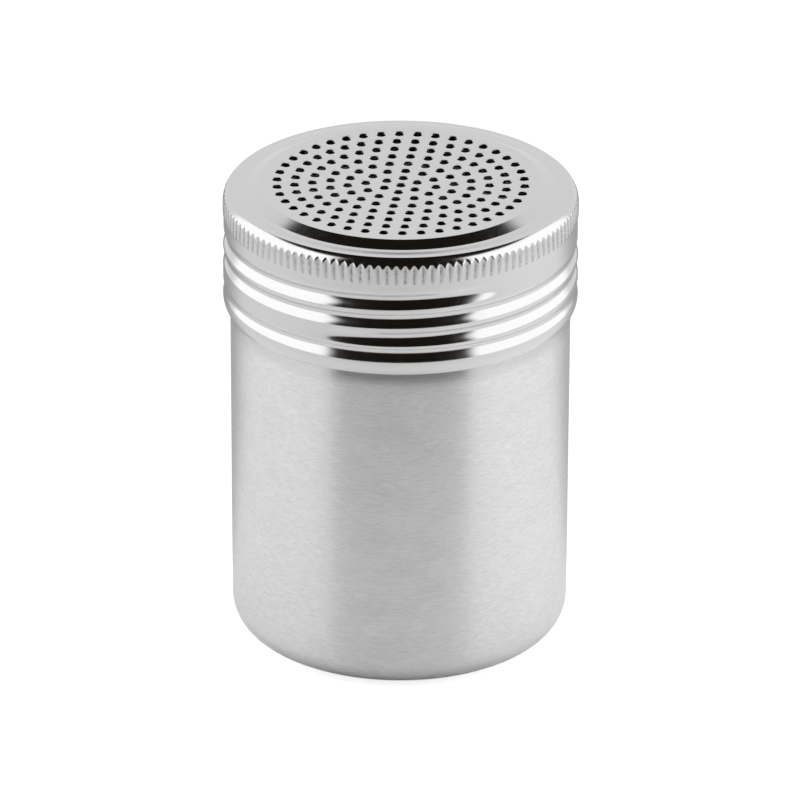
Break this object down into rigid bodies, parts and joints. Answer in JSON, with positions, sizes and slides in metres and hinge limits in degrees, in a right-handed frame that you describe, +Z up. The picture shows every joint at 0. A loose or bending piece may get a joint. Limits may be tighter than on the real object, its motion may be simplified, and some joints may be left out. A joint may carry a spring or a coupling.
{
  "type": "spice shaker",
  "caption": "Round stainless steel shaker: a deep-drawn brushed cup with a polished screw lid, knurled grip and perforated top.",
  "frame": {"origin": "centre of the bottom, on the surface that the shaker stands on", "axes": "+Z up, along the shaker's axis; -Y is the front"},
  "size_m": [0.07, 0.07, 0.095],
  "materials": {
    "brushed_steel": "stainless steel, brushed round the axis",
    "polished_steel": "mirror-polished stainless steel"
  },
  "bodies": {
    "cup": {"cup": "brushed_steel"},
    "lid": {"lid": "polished_steel"}
  },
  "joints": [
    {"name": "lid_lift", "type": "slide", "parent": "cup", "child": "lid", "axis": [0, 0, 1], "range_m": [0, 0.03]}
  ]
}
